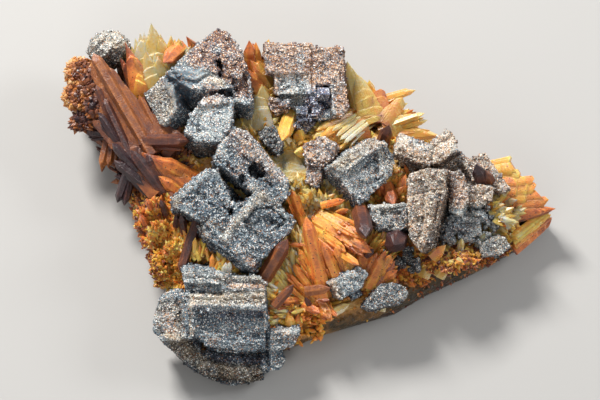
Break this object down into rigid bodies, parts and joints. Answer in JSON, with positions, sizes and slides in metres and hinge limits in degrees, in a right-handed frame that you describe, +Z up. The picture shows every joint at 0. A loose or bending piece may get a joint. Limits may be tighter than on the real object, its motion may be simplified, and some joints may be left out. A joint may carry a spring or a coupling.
{
  "type": "skeletal galena specimen",
  "caption": "Hand specimen of drusy skeletal galena cubes among sprays of iron-stained quartz on a flat-based quartz slab, lying on its base.",
  "frame": {"origin": "on the flat base, under the middle of the specimen's width", "axes": "+X along the specimen's length, towards its narrow end; +Y towards the edge with the large rosy cube; +Z up from the flat base"},
  "size_m": [0.0996, 0.0733, 0.025],
  "materials": {
    "galena_grey": "drusy slate-grey galena, sparkling fine grain",
    "galena_blue": "smoother blue-grey galena with a metallic gleam",
    "galena_rosy": "galena under a rosy, tan and grey fine druse",
    "galena_green": "greenish grey drusy crust",
    "quartz_brown": "orange-brown iron-stained quartz, satin",
    "quartz_orange": "orange translucent iron-stained quartz, glossy",
    "quartz_pale": "pale yellow-white translucent quartz, glossy",
    "quartz_purple": "purplish brown hematite-coated quartz, matt",
    "matrix_ochre": "massive yellow, orange and greenish quartz with a sparkling druse"
  },
  "bodies": {
    "root": {"galena_upper": "galena_blue", "galena_top": "galena_rosy", "galena_centre": "galena_grey", "galena_front": "galena_grey", "galena_right_cube": "galena_grey", "galena_right_group": "galena_rosy", "galena_lower_right": "galena_blue", "galena_middle": "galena_rosy", "galena_diamond": "galena_grey", "galena_box": "galena_blue", "galena_knob": "galena_green", "galena_dark_crust": "galena_grey", "galena_edge_crust": "galena_green", "quartz_purple_upright": "quartz_purple", "quartz_purple_stub": "quartz_purple", "quartz_purple_upper": "quartz_purple", "quartz_purple_right": "quartz_purple", "quartz_pocket": "quartz_orange", "quartz_red_prism": "quartz_brown", "quartz_brown_rod": "quartz_purple", "quartz_short_prisms": "quartz_orange", "quartz_gap_prisms": "quartz_orange", "quartz_left_fan": "quartz_brown", "quartz_orange_wedges": "quartz_orange", "quartz_pale_fan": "quartz_pale", "quartz_pale_blades": "quartz_pale", "quartz_cross_blades": "quartz_orange", "quartz_spray": "quartz_orange", "quartz_end_plates": "quartz_orange", "quartz_matrix": "matrix_ochre"}
  },
  "joints": []
}
